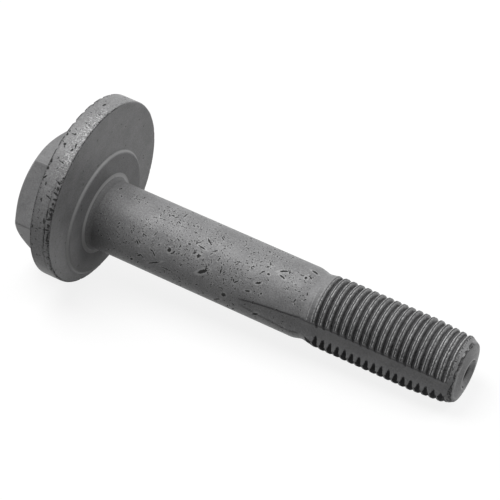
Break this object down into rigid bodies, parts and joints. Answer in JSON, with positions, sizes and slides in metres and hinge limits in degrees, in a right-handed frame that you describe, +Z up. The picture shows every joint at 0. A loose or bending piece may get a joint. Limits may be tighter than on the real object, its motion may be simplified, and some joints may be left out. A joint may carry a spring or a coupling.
{
  "type": "camber bolt",
  "caption": "Forged camber bolt: hexagon head, off-centre cam flange with setting marks and raised bearing pad, plain shank, and a threaded end with a lengthwise keyway groove and a cupped tip.",
  "frame": {"origin": "on the shank's axis, in the plane of the bearing pad's face", "axes": "+Z up from the ground the bolt lies on; the shank runs to +X and dips about 5 degrees towards its tip; the cam's lobe points up and the keyway groove faces nearly -Y"},
  "size_m": [0.0915, 0.0368, 0.037],
  "materials": {
    "coated_steel": "matte dark grey zinc-flake coat on forged steel, finely speckled and pitted"
  },
  "bodies": {
    "root": {"camber_bolt": "coated_steel"}
  },
  "joints": []
}
